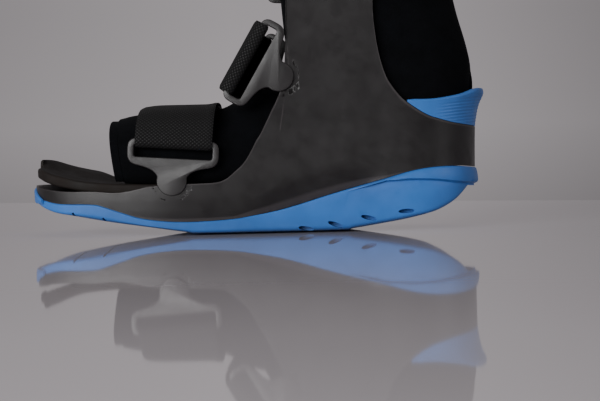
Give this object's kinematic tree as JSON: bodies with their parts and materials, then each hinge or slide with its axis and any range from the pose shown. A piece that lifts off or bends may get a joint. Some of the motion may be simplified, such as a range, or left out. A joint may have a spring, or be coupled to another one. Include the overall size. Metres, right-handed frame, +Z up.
{
  "type": "medical walking boot",
  "caption": "Short walker boot with rocker sole, moulded shell with side uprights, padded open-toe liner and webbing straps in pivoting rings.",
  "frame": {"origin": "middle of the boot's box, on the floor", "axes": "+X towards the heel, -X towards the toe, +Y to the far side, +Z up"},
  "size_m": [0.3096, 0.1184, 0.255],
  "materials": {
    "shell_plastic": "charcoal, satin, finely grained",
    "sole_rubber": "blue, satin",
    "insole_foam": "black-brown foam, matt",
    "liner_fabric": "black brushed loop fabric over padding",
    "strap_webbing": "black woven webbing with a slight sheen"
  },
  "bodies": {
    "root": {"outsole": "sole_rubber", "shell": "shell_plastic", "heel_tab": "sole_rubber", "insole": "insole_foam", "liner": "liner_fabric", "toe_binding": "liner_fabric", "ring_forefoot_near": "shell_plastic", "ring_forefoot_far": "shell_plastic", "strap_forefoot": "strap_webbing", "ring_instep_near": "shell_plastic", "ring_instep_far": "shell_plastic", "strap_instep": "strap_webbing", "ring_calf_near": "shell_plastic", "ring_calf_far": "shell_plastic", "strap_calf": "strap_webbing"}
  },
  "joints": []
}
